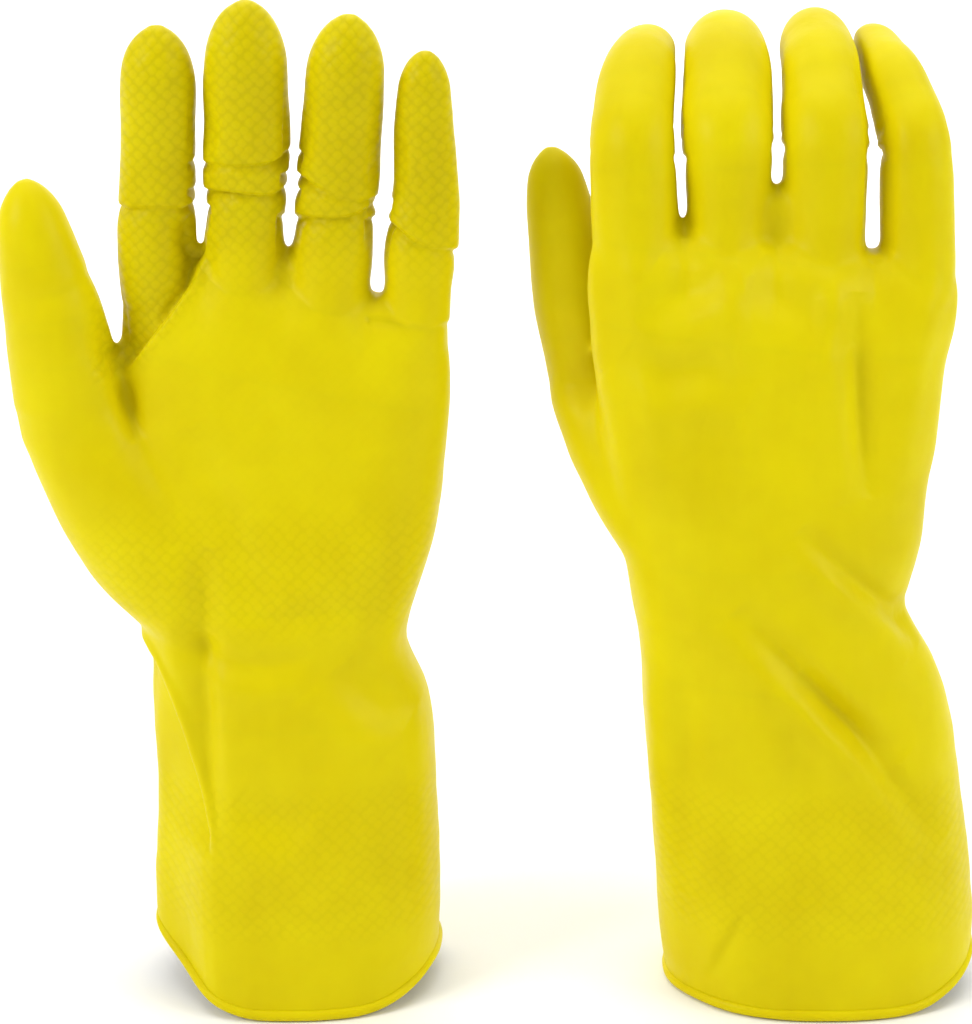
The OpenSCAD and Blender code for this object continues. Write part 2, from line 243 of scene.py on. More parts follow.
class Limb:
    """A finger or the thumb: where its joints are, and a smooth line through them."""

    def __init__(self, side, name, origin):
        self.side, self.name = side, name
        thumb = name == "thumb"
        first = JOINTS[f"{side}_thumb_base_flex" if thumb else f"{side}_{name}_middle_flex"]
        second = JOINTS[f"{side}_{name}_end_flex"]
        self.axis = unit(first["axis"])
        p1 = np.array(first["pos_m"]) / MM - origin
        p2 = np.array(second["pos_m"]) / MM - origin
        u1 = unit(p2 - p1)
        if thumb:
            u0, u2 = u1, u1
            before, end = THUMB_ROOT, THUMB_END[side]
        else:
            k = FINGERS.index(name)
            u0 = turned(u1, self.axis, -MID_CURL[side])
            u2 = turned(u1, self.axis, END_CURL[side])
            before, end = ROOT_LEN[side][k], END_LEN[side][k]
        self.base, self.joint_a, self.joint_b, self.tip = p1 - u0 * before, p1, p2, p2 + u2 * end
        self.dirs = (u0, u1, u2)
        # Planes at the ends of the two soft bands
        low, high = THUMB_BAND if thumb else (-FINGER_HALF, FINGER_HALF)
        self.planes = [
            (p1 + u0 * low, u0), (p1 + u1 * high, u1),
            (p2 - u1 * FINGER_HALF, u1), (p2 + u2 * FINGER_HALF, u2),
        ]
        self.line = self._line()
        steps = np.linalg.norm(np.diff(self.line, axis=0), axis=1)
        self.s = np.concatenate([[0], np.cumsum(steps)])
        self.length = self.s[-1]
        self.s_a = self.s[np.argmin(np.linalg.norm(self.line - p1, axis=1))]
        self.s_b = self.s[np.argmin(np.linalg.norm(self.line - p2, axis=1))]
        for shift, place, width in BOWS[side].get(name, ()):
            self.line[:, 0] += shift * np.exp(-(((self.s - self.s_a - place) / width) ** 2))
        table = np.array(FINGER_R[side][name])
        radius = curve_through(table[:, 0] * self.length, table[:, 1], self.s)
        dome = radius[-1] * DOME[side]
        rounding = np.clip(1 - (self.length - self.s) / dome, 0, 1)
        self.r = radius * np.maximum(0.06, 1 - rounding ** 2.2) ** 0.5
        self.r *= 0.6 + 0.4 * smoothstep(0, ROOT_TAPER, self.s)

    def _line(self):
        u0, u1, u2 = self.dirs
        half = BEND_HALF[self.side]
        before, after = (np.linalg.norm(v) for v in (self.joint_a - self.base, self.tip - self.joint_b))
        between = np.linalg.norm(self.joint_b - self.joint_a)
        points = [self.base + u0 * d for d in np.arange(-6, before - half, 1.0)]
        for joint, low, high in ((self.joint_a, u0, u1), (self.joint_b, u1, u2)):
            a, b = joint - low * half, joint + high * half
            t = np.linspace(0, 1, 2 * half + 1)[:, None]
            points += list((1 - t) ** 2 * a + 2 * t * (1 - t) * joint + t * t * b)
            if joint is self.joint_a:
                points += [joint + high * d for d in np.arange(half + 1, between - half, 1.0)]
        points += [self.joint_b + u2 * d for d in np.arange(half + 1, after + 0.01, 1.0)]
        return np.array(points)

    def frames(self):
        along = np.gradient(self.line, axis=0)
        along /= np.linalg.norm(along, axis=1)[:, None]
        across = np.tile(self.axis, (len(along), 1))
        across -= (across * along).sum(1)[:, None] * along
        across /= np.linalg.norm(across, axis=1)[:, None]
        return along, across, np.cross(along, across)

    def locate(self, points):
        """For each point: place along the limb, distance from it, and angle round it."""
        best = np.full(len(points), 1e9)
        index = np.zeros(len(points), int)
        for k, p in enumerate(self.line):
            d = ((points - p) ** 2).sum(1)
            near = d < best
            best[near], index[near] = d[near], k
        along, across, out = self.frames()
        off = points - self.line[index]
        s = self.s[index] + (off * along[index]).sum(1)
        x, y = (off * across[index]).sum(1), (off * out[index]).sum(1)
        return s, np.hypot(x, y), np.arctan2(y, x)


def new_object(name, data):
    ob = bpy.data.objects.new(name, data)
    bpy.context.scene.collection.objects.link(ob)
    return ob


def circle(steps):
    return np.linspace(0, 2 * math.pi, steps, endpoint=False)


def loft(rings):
    """A closed mesh from rings with the same number of points."""
    n, count = len(rings[0]), len(rings)
    faces = [
        (j * n + i, j * n + (i + 1) % n, (j + 1) * n + (i + 1) % n, (j + 1) * n + i)
        for j in range(count - 1)
        for i in range(n)
    ]
    faces.append(tuple(range(n - 1, -1, -1)))
    faces.append(tuple((count - 1) * n + i for i in range(n)))
    return np.concatenate(rings), faces


def clearance(points, limb, limbs):
    """How far each point of a finger is from the fingers beside it."""
    out = np.full(len(points), FAR_AWAY)
    if limb.name == "thumb":
        return out
    k = FINGERS.index(limb.name)
    for other in (limbs[f] for f in FINGERS[max(0, k - 1):k + 2] if f != limb.name):
        for centre, r in zip(other.line, other.r):
            out = np.minimum(out, np.linalg.norm(points - centre, axis=1) - r)
    return out


def limb_solid(limb, limbs):
    """A tube along a limb, drawn in where it would come too close to its neighbours."""
    along, across, out = limb.frames()
    angle = circle(48)
    rings = []
    for k, centre in enumerate(limb.line):
        r = limb.r[k]
        ring = centre + np.outer(np.cos(angle) * r, across[k]) + np.outer(np.sin(angle) * r, out[k])
        short = 0.5 * (GAP - clearance(ring, limb, limbs)).clip(0)
        rings.append(ring + (centre - ring) * (short / r)[:, None])
    return loft(rings)


def point_at(limb, z):
    return np.array([np.interp(z, limb.line[:, 2], limb.line[:, c]) for c in range(3)])


def web_solid(a, b, top, thick):
    """The bridge of latex between the roots of two neighbours."""
    angle = circle(24)
    rings = []
    for z in np.linspace(top - WEB_DEPTH, top, 12):
        left, right = point_at(a, z), point_at(b, z)
        middle, half = (left + right) / 2, abs(right[0] - left[0]) / 2
        y = thick * math.sqrt(max(0.05, 1 - max(0, (z - top + thick) / thick) ** 2))
        rings.append(middle + np.stack([half * np.cos(angle), y * np.sin(angle), 0 * angle], 1))
    return loft(rings)


def body_section(side, z):
    """The outline of the cuff, wrist or palm at a height: a slightly squared oval."""
    table = np.array(SECTIONS[side], float)
    at = np.array([float(z)])
    left, right, front, back = (curve_through(table[:, 0], table[:, c], at)[0] for c in range(1, 5))
    angle = circle(72)
    c, s = np.cos(angle), np.sin(angle)
    x = (left + right) / 2 + (right - left) / 2 * np.sign(c) * abs(c) ** SQUARED
    y = np.where(s < 0, front, back) * np.sign(s) * abs(s) ** SQUARED
    if side == "left":
        # The thumb end of the left cuff is pushed in at the front
        y *= np.where(s < 0, 1 - 0.4 * smoothstep(0.5, 0.9, -c) * (1 - smoothstep(66, 108, at[0])), 1)
    return np.stack([x, y, np.full(len(angle), at[0])], 1)


def knuckle(side):
    """The knuckle joint's x and z, and how far its axis tilts."""
    joint = JOINTS[f"{side}_knuckle_flex"]
    x, _, z = np.array(joint["pos_m"]) / MM - ORIGIN[side]
    return x, z, math.atan2(abs(joint["axis"][2]), abs(joint["axis"][0]))


def wrist_z(side):
    return JOINTS[f"{side}_wrist_flex"]["pos_m"][2] / MM


def tilted(side, points):
    """Lets the sections lean with the knuckle line, more and more from the wrist up."""
    kx, kz, tilt = knuckle(side)
    low, high = wrist_z(side) + WRIST_HALF, kz - KNUCKLE_HALF
    share = np.clip((points[:, 2] - low) / (high - low), 0, 1)
    out = points.copy()
    out[:, 2] -= share * math.tan(tilt) * (points[:, 0] - kx)
    return out


def body_solid(side):
    top = SECTIONS[side][-1][0]
    heights = list(np.arange(-14, top - 8, 4.0)) + list(np.arange(top - 8, top + 0.1, 2.0))
    return loft([tilted(side, body_section(side, z)) for z in heights])


def oval(centre, a, b, angle):
    """A level oval with half width a and half depth b."""
    x, y, z = centre
    return np.stack([x + a * np.cos(angle), y + b * np.sin(angle), np.full(len(angle), z)], 1)


def ball_solid(side, thumb):
    """The ball of the thumb, which runs on into the thumb just past its base."""
    stations = np.array(THUMB_BALL[side], float)
    knots = np.arange(len(stations), dtype=float)
    angle = circle(40)
    rings = []
    for t in np.linspace(0, len(stations) - 1, 26):
        x, toward, z, a, b = curve_through(knots, stations, np.array([t]))[0]
        rings.append(oval((x, PALM_SIDE[side] * toward, z), a, b, angle))
    past_base = 8
    r = thumb.r[past_base]
    end = oval(thumb.line[past_base], r, r, angle)
    last = rings[-1]
    for t in (0.35, 0.7, 1.0):
        rings.append(last * (1 - t) + end * t)
    return loft(rings)


def merged(solids):
    """One smooth closed skin round several overlapping solids."""
    verts, faces, start = [], [], 0
    for v, f in solids:
        verts.append(v)
        faces += [tuple(i + start for i in face) for face in f]
        start += len(v)
    mesh = bpy.data.meshes.new("work")
    mesh.from_pydata(np.concatenate(verts).tolist(), [], faces)
    ob = new_object("work", mesh)
    remesh = ob.modifiers.new("skin", "REMESH")
    remesh.mode = "VOXEL"
    remesh.voxel_size = VOXEL
    done = bpy.data.meshes.new_from_object(ob.evaluated_get(bpy.context.evaluated_depsgraph_get()))
    bpy.data.objects.remove(ob)
    bpy.data.meshes.remove(mesh)
    return done


class Skin:
    """The points and faces of one glove's surface, with the tools that shape it."""

    def __init__(self, mesh):
        n = len(mesh.vertices)
        self.p = np.empty(n * 3)
        mesh.vertices.foreach_get("co", self.p)
        self.p = self.p.reshape(-1, 3)
        e = np.empty(len(mesh.edges) * 2, int)
        mesh.edges.foreach_get("vertices", e)
        self.edges = e.reshape(-1, 2)
        self.degree = np.bincount(self.edges.ravel(), minlength=n).astype(float)
        self.mesh = mesh

    def neighbours(self, values):
        """The mean of each point's neighbours."""
        here, there = self.edges.T
        rows, others = np.concatenate([here, there]), np.concatenate([there, here])
        out = [np.bincount(rows, weights=values[others, c], minlength=len(values)) for c in range(3)]
        return np.stack(out, 1) / self.degree[:, None]

    def smooth(self, turns, strength):
        """Draws each point towards its neighbours. The strength is one number, or one for each point."""
        w = np.broadcast_to(strength, len(self.p))[:, None]
        for _ in range(turns):
            self.p += w * (self.neighbours(self.p) - self.p)

    def fair(self, turns):
        """Smoothing that keeps the volume."""
        for _ in range(turns):
            self.p += 0.5 * (self.neighbours(self.p) - self.p)
            self.p -= 0.52 * (self.neighbours(self.p) - self.p)

    def normals(self):
        self.mesh.vertices.foreach_set("co", self.p.ravel())
        self.mesh.update()
        out = np.empty(len(self.p) * 3)
        self.mesh.vertex_normals.foreach_get("vector", out)
        return out.reshape(-1, 3)


# ---------------- folds
# Each fold: side of the glove (-1 front, 1 back), depth, width, ridge beside it
# (positive to the right of the line's direction), then its points (x, z).
FOLDS = {
    "left": [
        (-1, 3.0, 4.2, 1.5, [(-24, 148), (-25.5, 118), (-25.5, 90), (-24.5, 50)]),
        (-1, 1.8, 4.0, 0.9, [(-34, 124), (-24, 116), (-10, 112), (6, 114)]),
        (-1, 2.8, 6.0, 0.8, [(16, 112), (25, 100), (35, 92)]),
        (-1, 2.2, 8.0, 0.8, [(-16, 72), (-6, 65), (4, 60)]),
        (-1, 2.0, 2.4, 0.6, [(-49.5, 201), (-47.5, 193), (-45.5, 185), (-43.5, 178)]),
        (-1, 2.6, 1.4, 0.0, [(-23.5, 241), (-26, 230), (-31, 221), (-37.5, 212)]),
        (-1, 1.5, 6.0, 0.0, [(-30, 182), (-18, 160), (-12, 140), (-12, 124)]),
        (-1, 0.9, 4.5, 0.0, [(34, 122), (20, 128), (6, 128), (-6, 122)]),
        (1, 1.8, 5.0, 0.8, [(-34, 120), (-10, 112), (16, 114), (30, 110)]),
        (1, 1.4, 4.0, 0.7, [(30, 126), (6, 128), (-18, 134), (-34, 140)]),
        (1, 1.5, 7.0, 0.0, [(-20, 84), (-4, 66), (18, 54)]),
    ],
    "right": [
        (-1, 3.4, 3.4, 1.8, [(-12, 154), (9, 135), (20, 124), (28, 114)]),
        (-1, 3.6, 4.2, 1.9, [(-30, 130), (-12, 112), (3, 97), (22, 82)]),
        (-1, 3.2, 4.2, 1.6, [(-10, 111), (8, 90), (22, 72), (34, 54)]),
        (-1, 3.1, 4.0, 1.7, [(4, 222), (5, 200), (6.5, 180), (9, 162)]),
        (-1, 2.3, 5.5, 1.2, [(-62, 206), (-52, 199), (-38, 200), (-26, 194)]),
        (-1, 1.0, 1.8, 0.5, [(-23, 38), (-29, 24), (-35, 10)]),
        (-1, 1.8, 5.0, 1.1, [(-43.5, 122), (-43.5, 80), (-42, 36)]),
        (-1, 1.5, 6.0, 0.8, [(-15, 118), (-11, 80), (-8, 38)]),
        (-1, 2.2, 5.5, 0.9, [(-60, 214), (-46, 222), (-30, 226)]),
        (-1, 2.0, 5.5, 0.8, [(-28, 224), (-12, 218), (2, 206)]),
        (1, 2.0, 5.0, 0.9, [(-50, 140), (-30, 128), (-6, 126), (18, 124)]),
        (1, 1.6, 4.0, 0.8, [(20, 136), (0, 142), (-24, 146), (-44, 154)]),
        (1, 1.5, 7.0, 0.0, [(-34, 96), (-14, 78), (10, 66)]),
    ],
}
# Steps, where one sheet of latex lies over its neighbour: depth, reach, ridge, points (x, z)
STEPS = {
    "left": [
        (3.4, 12, 0.6, [(-23.5, 238), (-26.5, 226), (-34.5, 214), (-43, 203), (-49, 194)]),
        (3.2, 9, 1.3, [(-45, 114), (-38.5, 107), (-33.5, 95), (-29.5, 78), (-26, 60), (-24.5, 50)]),
    ],
    "right": [],
}
# Folds round each finger where it bends: place from the joint, depth, width, how far
# the latex above bulges over it, slant across the finger, share that reaches round the back.
# They lie within a distance of the finger's first joint.
CREASES_WITHIN = 64
CREASES = {
    "left": {
        "index": [(-5.3, 2.6, 1.2, 1.6, 0.3, 0.3)],
        "middle": [(7.0, 2.1, 1.4, 1.1, 0.8, 0.45), (-2.6, 2.8, 1.3, 1.7, 0.2, 0.4)],
        "ring": [(2.4, 2.4, 1.3, 1.2, -1.3, 0.4), (-5.2, 2.5, 1.3, 1.5, 1.2, 0.35)],
        "little": [(-6.4, 2.2, 1.1, 1.0, -1.5, 0.35), (-31, 0.9, 1.3, 0.5, -0.5, 0.1)],
        "thumb": [(2.0, 0.4, 3.0, 0.2, 0.5, 0.1)],
    },
    "right": {
        "index": [(-3.0, 1.5, 1.6, 0.9, 0.4, 0.0), (3.5, 1.3, 1.6, 0.7, -0.4, 0.0)],
        "middle": [(-3.5, 1.6, 1.6, 1.0, -0.5, 0.0), (3.0, 1.3, 1.6, 0.7, 0.4, 0.0)],
        "ring": [(-3.0, 1.5, 1.6, 0.9, 0.5, 0.0), (3.5, 1.3, 1.6, 0.7, -0.4, 0.0)],
        "little": [(-3.0, 1.3, 1.5, 0.8, 0.6, 0.0), (3.0, 1.1, 1.5, 0.6, 0.3, 0.0)],
        "thumb": [(2.0, 0.4, 3.0, 0.2, 0.5, 0.0)],
    },
}
# Soft dents in the fingers: place from the middle joint, angle round the finger,
# depth, half length, half width
DENTS = {
    "left": {
        "index": [(14, -60, 0.5, 10, 5)],
        "middle": [(14, -146, 1.5, 10, 5), (24, -60, 0.6, 9, 6), (9, -25, 0.8, 8, 4)],
        "ring": [
            (16, -150, 1.5, 12, 4.5), (6, -28, 1.3, 7, 4), (-12, -160, 1.0, 8, 4), (-10, -20, 0.9, 7, 4),
        ],
        "little": [(20, -140, 0.7, 10, 4)],
    },
    "right": {
        "index": [(-14, 60, 0.5, 12, 5)],
        "middle": [(-16, 130, 0.6, 10, 5)],
        "ring": [(-14, 60, 0.7, 12, 5)],
        "little": [(-6, 20, 1.4, 22, 5), (-30, 60, 0.7, 9, 4)],
    },
}


def measure(points, route):
    """For each point: distance to the right of the route, overshoot past its ends, place along it."""
    route = np.array(route, float)
    t = np.linspace(0, len(route) - 1, 60)
    line = curve_through(np.arange(len(route), dtype=float), route, t)
    along = np.gradient(line, axis=0)
    along /= np.linalg.norm(along, axis=1)[:, None]
    flat = points[:, [0, 2]]
    best, k = np.full(len(points), np.inf), np.zeros(len(points), int)
    for j, p in enumerate(line):
        d = ((flat - p) ** 2).sum(1)
        near = d < best
        best[near], k[near] = d[near], j
    off = flat - line[k]
    aside = off[:, 0] * along[k, 1] - off[:, 1] * along[k, 0]
    return aside, np.sqrt((best - aside ** 2).clip(0)), k / (len(line) - 1)


def fold_depth(points, normals, fold):
    facing, depth, width, ridge, route = fold
    aside, past, t = measure(points, route)
    ends = np.sin(t * math.pi) ** 0.6
    side = smoothstep(0.05, 0.45, facing * normals[:, 1])
    wave = -depth * np.exp(-((aside / width) ** 2))
    wave += ridge * np.exp(-(((aside - 1.9 * width) / (1.3 * width)) ** 2))
    return wave * ends * side * np.exp(-(past ** 2) / (2 * width ** 2))


def step_depth(points, normals, facing, step):
    depth, spread, ridge, route = step
    aside, past, t = measure(points, route)
    side = smoothstep(-0.1, 0.3, facing * normals[:, 1])
    low = -depth * smoothstep(-0.3, 1.1, aside) * np.exp(-((aside.clip(0) / spread) ** 2))
    high = ridge * np.exp(-(((aside + 1.3) / 1.5) ** 2))
    fade = (1 - smoothstep(0.75, 1.0, t)) * np.exp(-(past ** 2) / 8)
    return (low + high) * fade * side


def dent_depth(limb, s, r, angle, dent):
    place, turn, depth, long, wide = dent
    around = (angle - math.radians(turn) + math.pi) % (2 * math.pi) - math.pi
    hollow = np.exp(-(((s - limb.s_a - place) / long) ** 2) - ((around * r / wide) ** 2))
    return -depth * hollow * (r < LIMB_REACH)


def crease_depth(limb, s, r, angle, crease, seed):
    place, depth, width, bulge, slant, back = crease
    joint = limb.s_a if limb.name != "thumb" else limb.s_b
    # Palm side of the finger is where the angle is -90 degrees about its bending axis
    toward = -np.sin(angle)
    wander = slant * 2.2 * np.cos(angle) + 0.5 * np.sin(3 * angle + seed)
    d = s - joint - place - wander
    share = back + (1 - back) * smoothstep(-0.5, 0.6, toward)
    share *= 0.78 + 0.22 * np.sin(2 * angle + 2.3 * seed + place)
    over = smoothstep(-0.7 * width, 0.7 * width, d)
    wave = bulge * over * np.exp(-((d.clip(0) / 6.5) ** 2))
    wave -= 0.6 * depth * (1 - over) * np.exp(-((d.clip(None, 0) / 4.5) ** 2))
    wave -= 0.5 * depth * np.exp(-(((d + 0.7 * width) / (0.8 * width)) ** 2))
    return wave * share * (r < LIMB_REACH)


# ---------------- one glove
ORIGIN = {}
for side in SIDES:
    low, high = (np.array(v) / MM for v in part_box(f"{side}_rolled_rim"))
    ORIGIN[side] = np.array([(low[0] + high[0]) / 2 - RIM_MIDDLE[side], (low[1] + high[1]) / 2, 0])


def limbs_of(side):
    return {name: Limb(side, name, ORIGIN[side]) for name in FINGERS + ("thumb",)}


def web_weight(side, points, limbs):
    """How strongly each point is smoothed: most in the webs and round the ball of the thumb."""
    web = np.zeros(len(points))
    lines = [limbs[f] for f in FINGERS]
    for a, b in zip(lines, lines[1:]):
        middle = (a.base + b.base) / 2 + UP * WEB_ABOVE[side]
        d = np.linalg.norm((points - middle) * [1, 0.8, 0.55], axis=1)
        web = np.maximum(web, 0.3 * (1 - smoothstep(7, 15, d)))
    t = limbs["thumb"]
    crotch = t.base + np.array([15, 0, 0])
    d = np.linalg.norm((points - crotch) * [1, 0.7, 0.8], axis=1)
    web = np.maximum(web, 1 - smoothstep(9, 20, d))
    ball = t.base + np.array([18, -PALM_SIDE[side] * 2, -34])
    d = np.linalg.norm((points - ball) * [1, 0.8, 0.8], axis=1)
    return np.maximum(web, 0.8 * (1 - smoothstep(18, 44, d)))


def palm_relief(side, points, normals, limbs):
    """The pads and hollows of the palm, and the soft ridges over the knuckles."""
    palm = PALM_SIDE[side]
    on_palm = smoothstep(0.1, 0.6, palm * normals[:, 1])
    on_back = smoothstep(0.1, 0.6, -palm * normals[:, 1])
    kx, kz, _ = knuckle(side)
    x, z = points[:, 0], points[:, 2]

    def spot(cx, cz, wx, wz):
        return np.exp(-(((x - cx) / wx) ** 2) - (((z - cz) / wz) ** 2))

    out = on_palm * (-2.2 * spot(kx + 2, kz - 42, 17, 26) + 1.6 * spot(kx + 30, kz - 55, 13, 26))
    for limb in (limbs[f] for f in FINGERS):
        b = limb.base
        out += on_palm * 1.3 * spot(b[0], b[2] + 10, 8.5, 9)
        out += on_back * 1.7 * spot(b[0], b[2] + 4, 7, 10)
        # Tendons run from the knuckles down the back of the hand
        lean = b[0] + (kz - z) * 0.12 * np.sign(kx - b[0])
        fade = smoothstep(kz - 72, kz - 30, z) * (1 - smoothstep(b[2], b[2] + 14, z))
        out += on_back * 1.3 * np.exp(-(((x - lean) / 4.5) ** 2)) * fade
    for a, b in zip(FINGERS, FINGERS[1:]):
        m = (limbs[a].base + limbs[b].base) / 2
        out -= (1.9 * on_back + 0.7 * on_palm) * spot(m[0], m[2] + 12, 3.8, 15)
    return out


def shaped(side, limbs):
    solids = [body_solid(side), ball_solid(side, limbs["thumb"])]
    solids += [limb_solid(limb, limbs) for limb in limbs.values()]
    row = [limbs[f] for f in FINGERS]
    solids += [web_solid(a, b, top, WEB_THICK) for a, b, top in zip(row, row[1:], WEBS[side])]
    solids.append(web_solid(limbs["thumb"], row[0], WEBS[side][3], THUMB_WEB_THICK))
    skin = Skin(merged(solids))
    skin.smooth(5, 0.5)
    skin.smooth(70, 0.5 * web_weight(side, skin.p, limbs))
    skin.fair(4)
    normals = skin.normals()
    move = palm_relief(side, skin.p, normals, limbs)
    for fold in FOLDS[side]:
        move += fold_depth(skin.p, normals, fold)
    for step in STEPS[side]:
        move += step_depth(skin.p, normals, PALM_SIDE[side], step)
    # Slow unevenness of hand-dipped latex, and the slack of the empty cuff
    slack = 1 - smoothstep(wrist_z(side) - 30, wrist_z(side) + 30, skin.p[:, 2])
    move += (0.45 + 0.9 * slack) * noise_at(skin.p * [1, 1, 0.6], 26.0, 3)
    move += 0.22 * noise_at(skin.p, 9.0, 7)
    skin.p += normals * move[:, None]
    normals = skin.normals()
    move = np.zeros(len(skin.p))
    for k, (name, limb) in enumerate(limbs.items()):
        near = np.flatnonzero(np.linalg.norm(skin.p - limb.joint_a, axis=1) < CREASES_WITHIN)
        s, r, angle = limb.locate(skin.p[near])
        for crease in CREASES[side][name]:
            move[near] += crease_depth(limb, s, r, angle, crease, k)
        for dent in DENTS[side].get(name, ()):
            move[near] += dent_depth(limb, s, r, angle, dent)
        room = smoothstep(GAP - 0.4, GAP + 2.4, clearance(skin.p[near], limb, limbs))
        move[near] = np.where(move[near] > 0, move[near] * room, move[near])
    skin.p += normals * move[:, None]
    skin.smooth(1, 0.4)
    skin.p[:, 0] += DRIFT[side]
    return skin


def rim_lift(side, x):
    """The rim is flat at the front and back, and rises at its two sides."""
    low, high = SECTIONS[side][0][1:3]
    across = (x - (low + high) / 2) / ((high - low) / 2)
    lift = np.where(across < 0, *RIM_LIFT[side])
    flat = np.where((across < 0) & (side == "left"), 0.2, 0.45)
    return lift * np.clip((abs(across) - flat) / (1 - flat), 0, 1) ** 2


class Sheet:
    """The skin as polygons, which planes can cut."""

    def __init__(self, skin):
        self.points = list(skin.p)
        self.normals = list(skin.normals())
        corners = np.empty(len(skin.mesh.loops), int)
        skin.mesh.loops.foreach_get("vertex_index", corners)
        ends = np.cumsum([p.loop_total for p in skin.mesh.polygons])
        self.faces = [tuple(c) for c in np.split(corners, ends[:-1])]
        self.zone = [0] * len(self.faces)

    def cut(self, chosen, point, along):
        """Splits the chosen faces along a plane. Returns the faces that now stand for them."""
        used = sorted({i for f in chosen for i in self.faces[f]})
        offset = (np.array([self.points[i] for i in used]) - point) @ along
        above = dict(zip(used, offset))
        made, out = {}, []

        def crossing(a, b):
            key = (a, b) if a < b else (b, a)
            if key not in made:
                a, b = key
                t = above[a] / (above[a] - above[b])
                self.points.append(self.points[a] * (1 - t) + self.points[b] * t)
                self.normals.append(unit(self.normals[a] * (1 - t) + self.normals[b] * t))
                made[key] = len(self.points) - 1
            return made[key]

        for f in chosen:
            face = self.faces[f]
            high = [bool(above[i] > 0) for i in face]
            if all(high) or not any(high):
                out.append(f)
                continue
            halves = ([], [])
            for k, i in enumerate(face):
                j = face[(k + 1) % len(face)]
                halves[high[k]].append(i)
                if high[k] != bool(above[j] > 0):
                    new = crossing(i, j)
                    halves[0].append(new)
                    halves[1].append(new)
            self.faces[f] = tuple(halves[0])
            self.faces.append(tuple(halves[1]))
            self.zone.append(self.zone[f])
            out += [f, len(self.faces) - 1]
        return out

    def middle(self, f):
        return sum(self.points[i] for i in self.faces[f]) / len(self.faces[f])


def opened(side, skin):
    """Cuts the closed skin open along the rim."""
    sheet = Sheet(skin)
    low = [f for f, face in enumerate(sheet.faces) if min(sheet.points[i][2] for i in face) < RIM_EDGE]
    sheet.cut(low, UP * RIM_EDGE, UP)
    keep = [f for f in range(len(sheet.faces)) if sheet.middle(f)[2] > RIM_EDGE]
    sheet.faces = [sheet.faces[f] for f in keep]
    sheet.zone = [0] * len(keep)
    points = np.array(sheet.points)
    fade = np.clip(1 - (points[:, 2] - RIM_EDGE) / RIM_FADE, 0, 1)
    points[:, 2] += rim_lift(side, points[:, 0]) * fade ** 2
    sheet.points = list(points)
    return sheet


def reach(sheet, limb):
    """Faces of a limb beyond its first cut, found by walking from its tip."""
    point, along = limb.planes[0]
    points = np.array(sheet.points)
    near = np.linalg.norm(points - limb.joint_a, axis=1) < LONGEST
    beyond = ((points - point) @ along > 0) & near
    around = {}
    for f, face in enumerate(sheet.faces):
        for i in face:
            if beyond[i]:
                around.setdefault(i, []).append(f)
    start = min(around, key=lambda i: ((points[i] - limb.tip) ** 2).sum())
    seen, stack, faces = {start}, [start], set()
    while stack:
        for f in around[stack.pop()]:
            faces.add(f)
            for i in sheet.faces[f]:
                if beyond[i] and i not in seen:
                    seen.add(i)
                    stack.append(i)
    return sorted(faces)


def body_planes(side):
    """The planes at the ends of the wrist band and of the knuckle band."""
    kx, kz, tilt = knuckle(side)
    lean = np.array([math.sin(tilt), 0, math.cos(tilt)])
    wrist, middle = UP * wrist_z(side), np.array([kx, 0, kz])
    half = KNUCKLE_HALF * math.cos(tilt)
    return [
        (wrist - UP * WRIST_HALF, UP), (wrist + UP * WRIST_HALF, UP),
        (middle - lean * half, lean), (middle + lean * half, lean),
    ]


# Zones 1 to 5 are the body's, and each limb's follow from the next round number
LIMB_ZONES = 10


def split(side, sheet, limbs):
    """Cuts the skin at every band edge, and numbers the zone of each face."""
    for k, limb in enumerate(limbs.values()):
        faces = reach(sheet, limb)
        for point, along in limb.planes:
            faces = sheet.cut(faces, point, along)
        for f in faces:
            middle = sheet.middle(f)
            part = sum((middle - p) @ u > 0 for p, u in limb.planes)
            if (middle - limb.planes[0][0]) @ limb.planes[0][1] > 0:
                sheet.zone[f] = LIMB_ZONES * (k + 1) + max(1, part)
    trunk = [f for f, z in enumerate(sheet.zone) if z == 0]
    for point, along in body_planes(side):
        trunk = sheet.cut(trunk, point, along)
    for f in trunk:
        middle = sheet.middle(f)
        sheet.zone[f] = 1 + sum((middle - p) @ u > 0 for p, u in body_planes(side))
    return np.array(sheet.points), np.array(sheet.normals), sheet.faces, np.array(sheet.zone)


def zone_names(limbs):
    names = {1: "cuff", 2: "wrist_band", 3: "palm", 4: "knuckle_band", 5: "knuckles"}
    for k, name in enumerate(limbs):
        words = [f"{name}_middle_band", f"{name}_middle", f"{name}_end_band", f"{name}_tip"]
        if name == "thumb":
            words[:2] = ["thumb_root_band", "thumb_base"]
        names.update({LIMB_ZONES * (k + 1) + part + 1: word for part, word in enumerate(words)})
    return names


def open_edges(faces):
    """The edges that only one face has, in that face's direction."""
    border = {}
    for f in faces:
        for a, b in zip(f, f[1:] + f[:1]):
            if (b, a) in border:
                del border[(b, a)]
            else:
                border[(a, b)] = True
    return list(border)


def place(name, verts, faces, origin, rest, grip, material):
    """A new object, with each point's place on the glove and its share of grip for the material."""
    mesh = bpy.data.meshes.new(name)
    mesh.from_pydata(((verts + origin) * MM).tolist(), [], faces)
    mesh.shade_smooth()
    mesh.attributes.new("rest", "FLOAT_VECTOR", "POINT").data.foreach_set("vector", (rest * MM).ravel())
    mesh.attributes.new("grip", "FLOAT", "POINT").data.foreach_set("value", grip)
    mesh.materials.append(material)
    return new_object(name, mesh)


